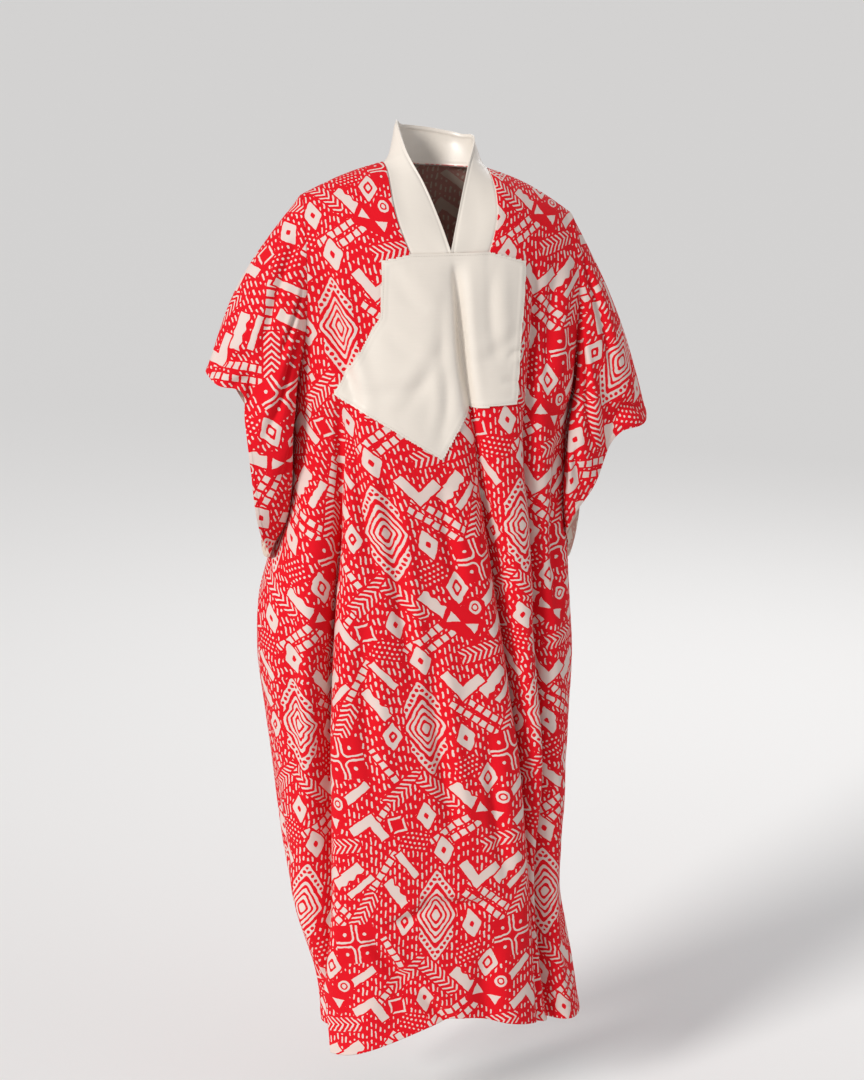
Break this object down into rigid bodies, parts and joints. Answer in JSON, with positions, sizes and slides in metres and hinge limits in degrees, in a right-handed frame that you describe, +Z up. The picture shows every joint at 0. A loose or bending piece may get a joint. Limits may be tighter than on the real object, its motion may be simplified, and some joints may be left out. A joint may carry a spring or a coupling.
{
  "type": "grand boubou robe",
  "caption": "Full-length wide robe, worn hollow, with short set-on sleeves, a standing V neck band and an angular satin chest panel.",
  "frame": {"origin": "middle of the shoulder line, where the wearer's shoulders carry the robe", "axes": "+Z up, the robe's front faces -Y, the wearer's left side is +X"},
  "size_m": [0.7573, 0.3036, 1.5912],
  "materials": {
    "printed_cloth": "smooth woven cotton with a red and off-white print on the outside and a paler reverse",
    "ivory_satin": "ivory satin with a soft sheen, topstitched along its edges"
  },
  "bodies": {
    "root": {"front_panel": "printed_cloth", "back_panel": "printed_cloth", "sleeve_right": "printed_cloth", "sleeve_left": "printed_cloth", "neck_band": "ivory_satin", "chest_panel": "ivory_satin"}
  },
  "joints": []
}
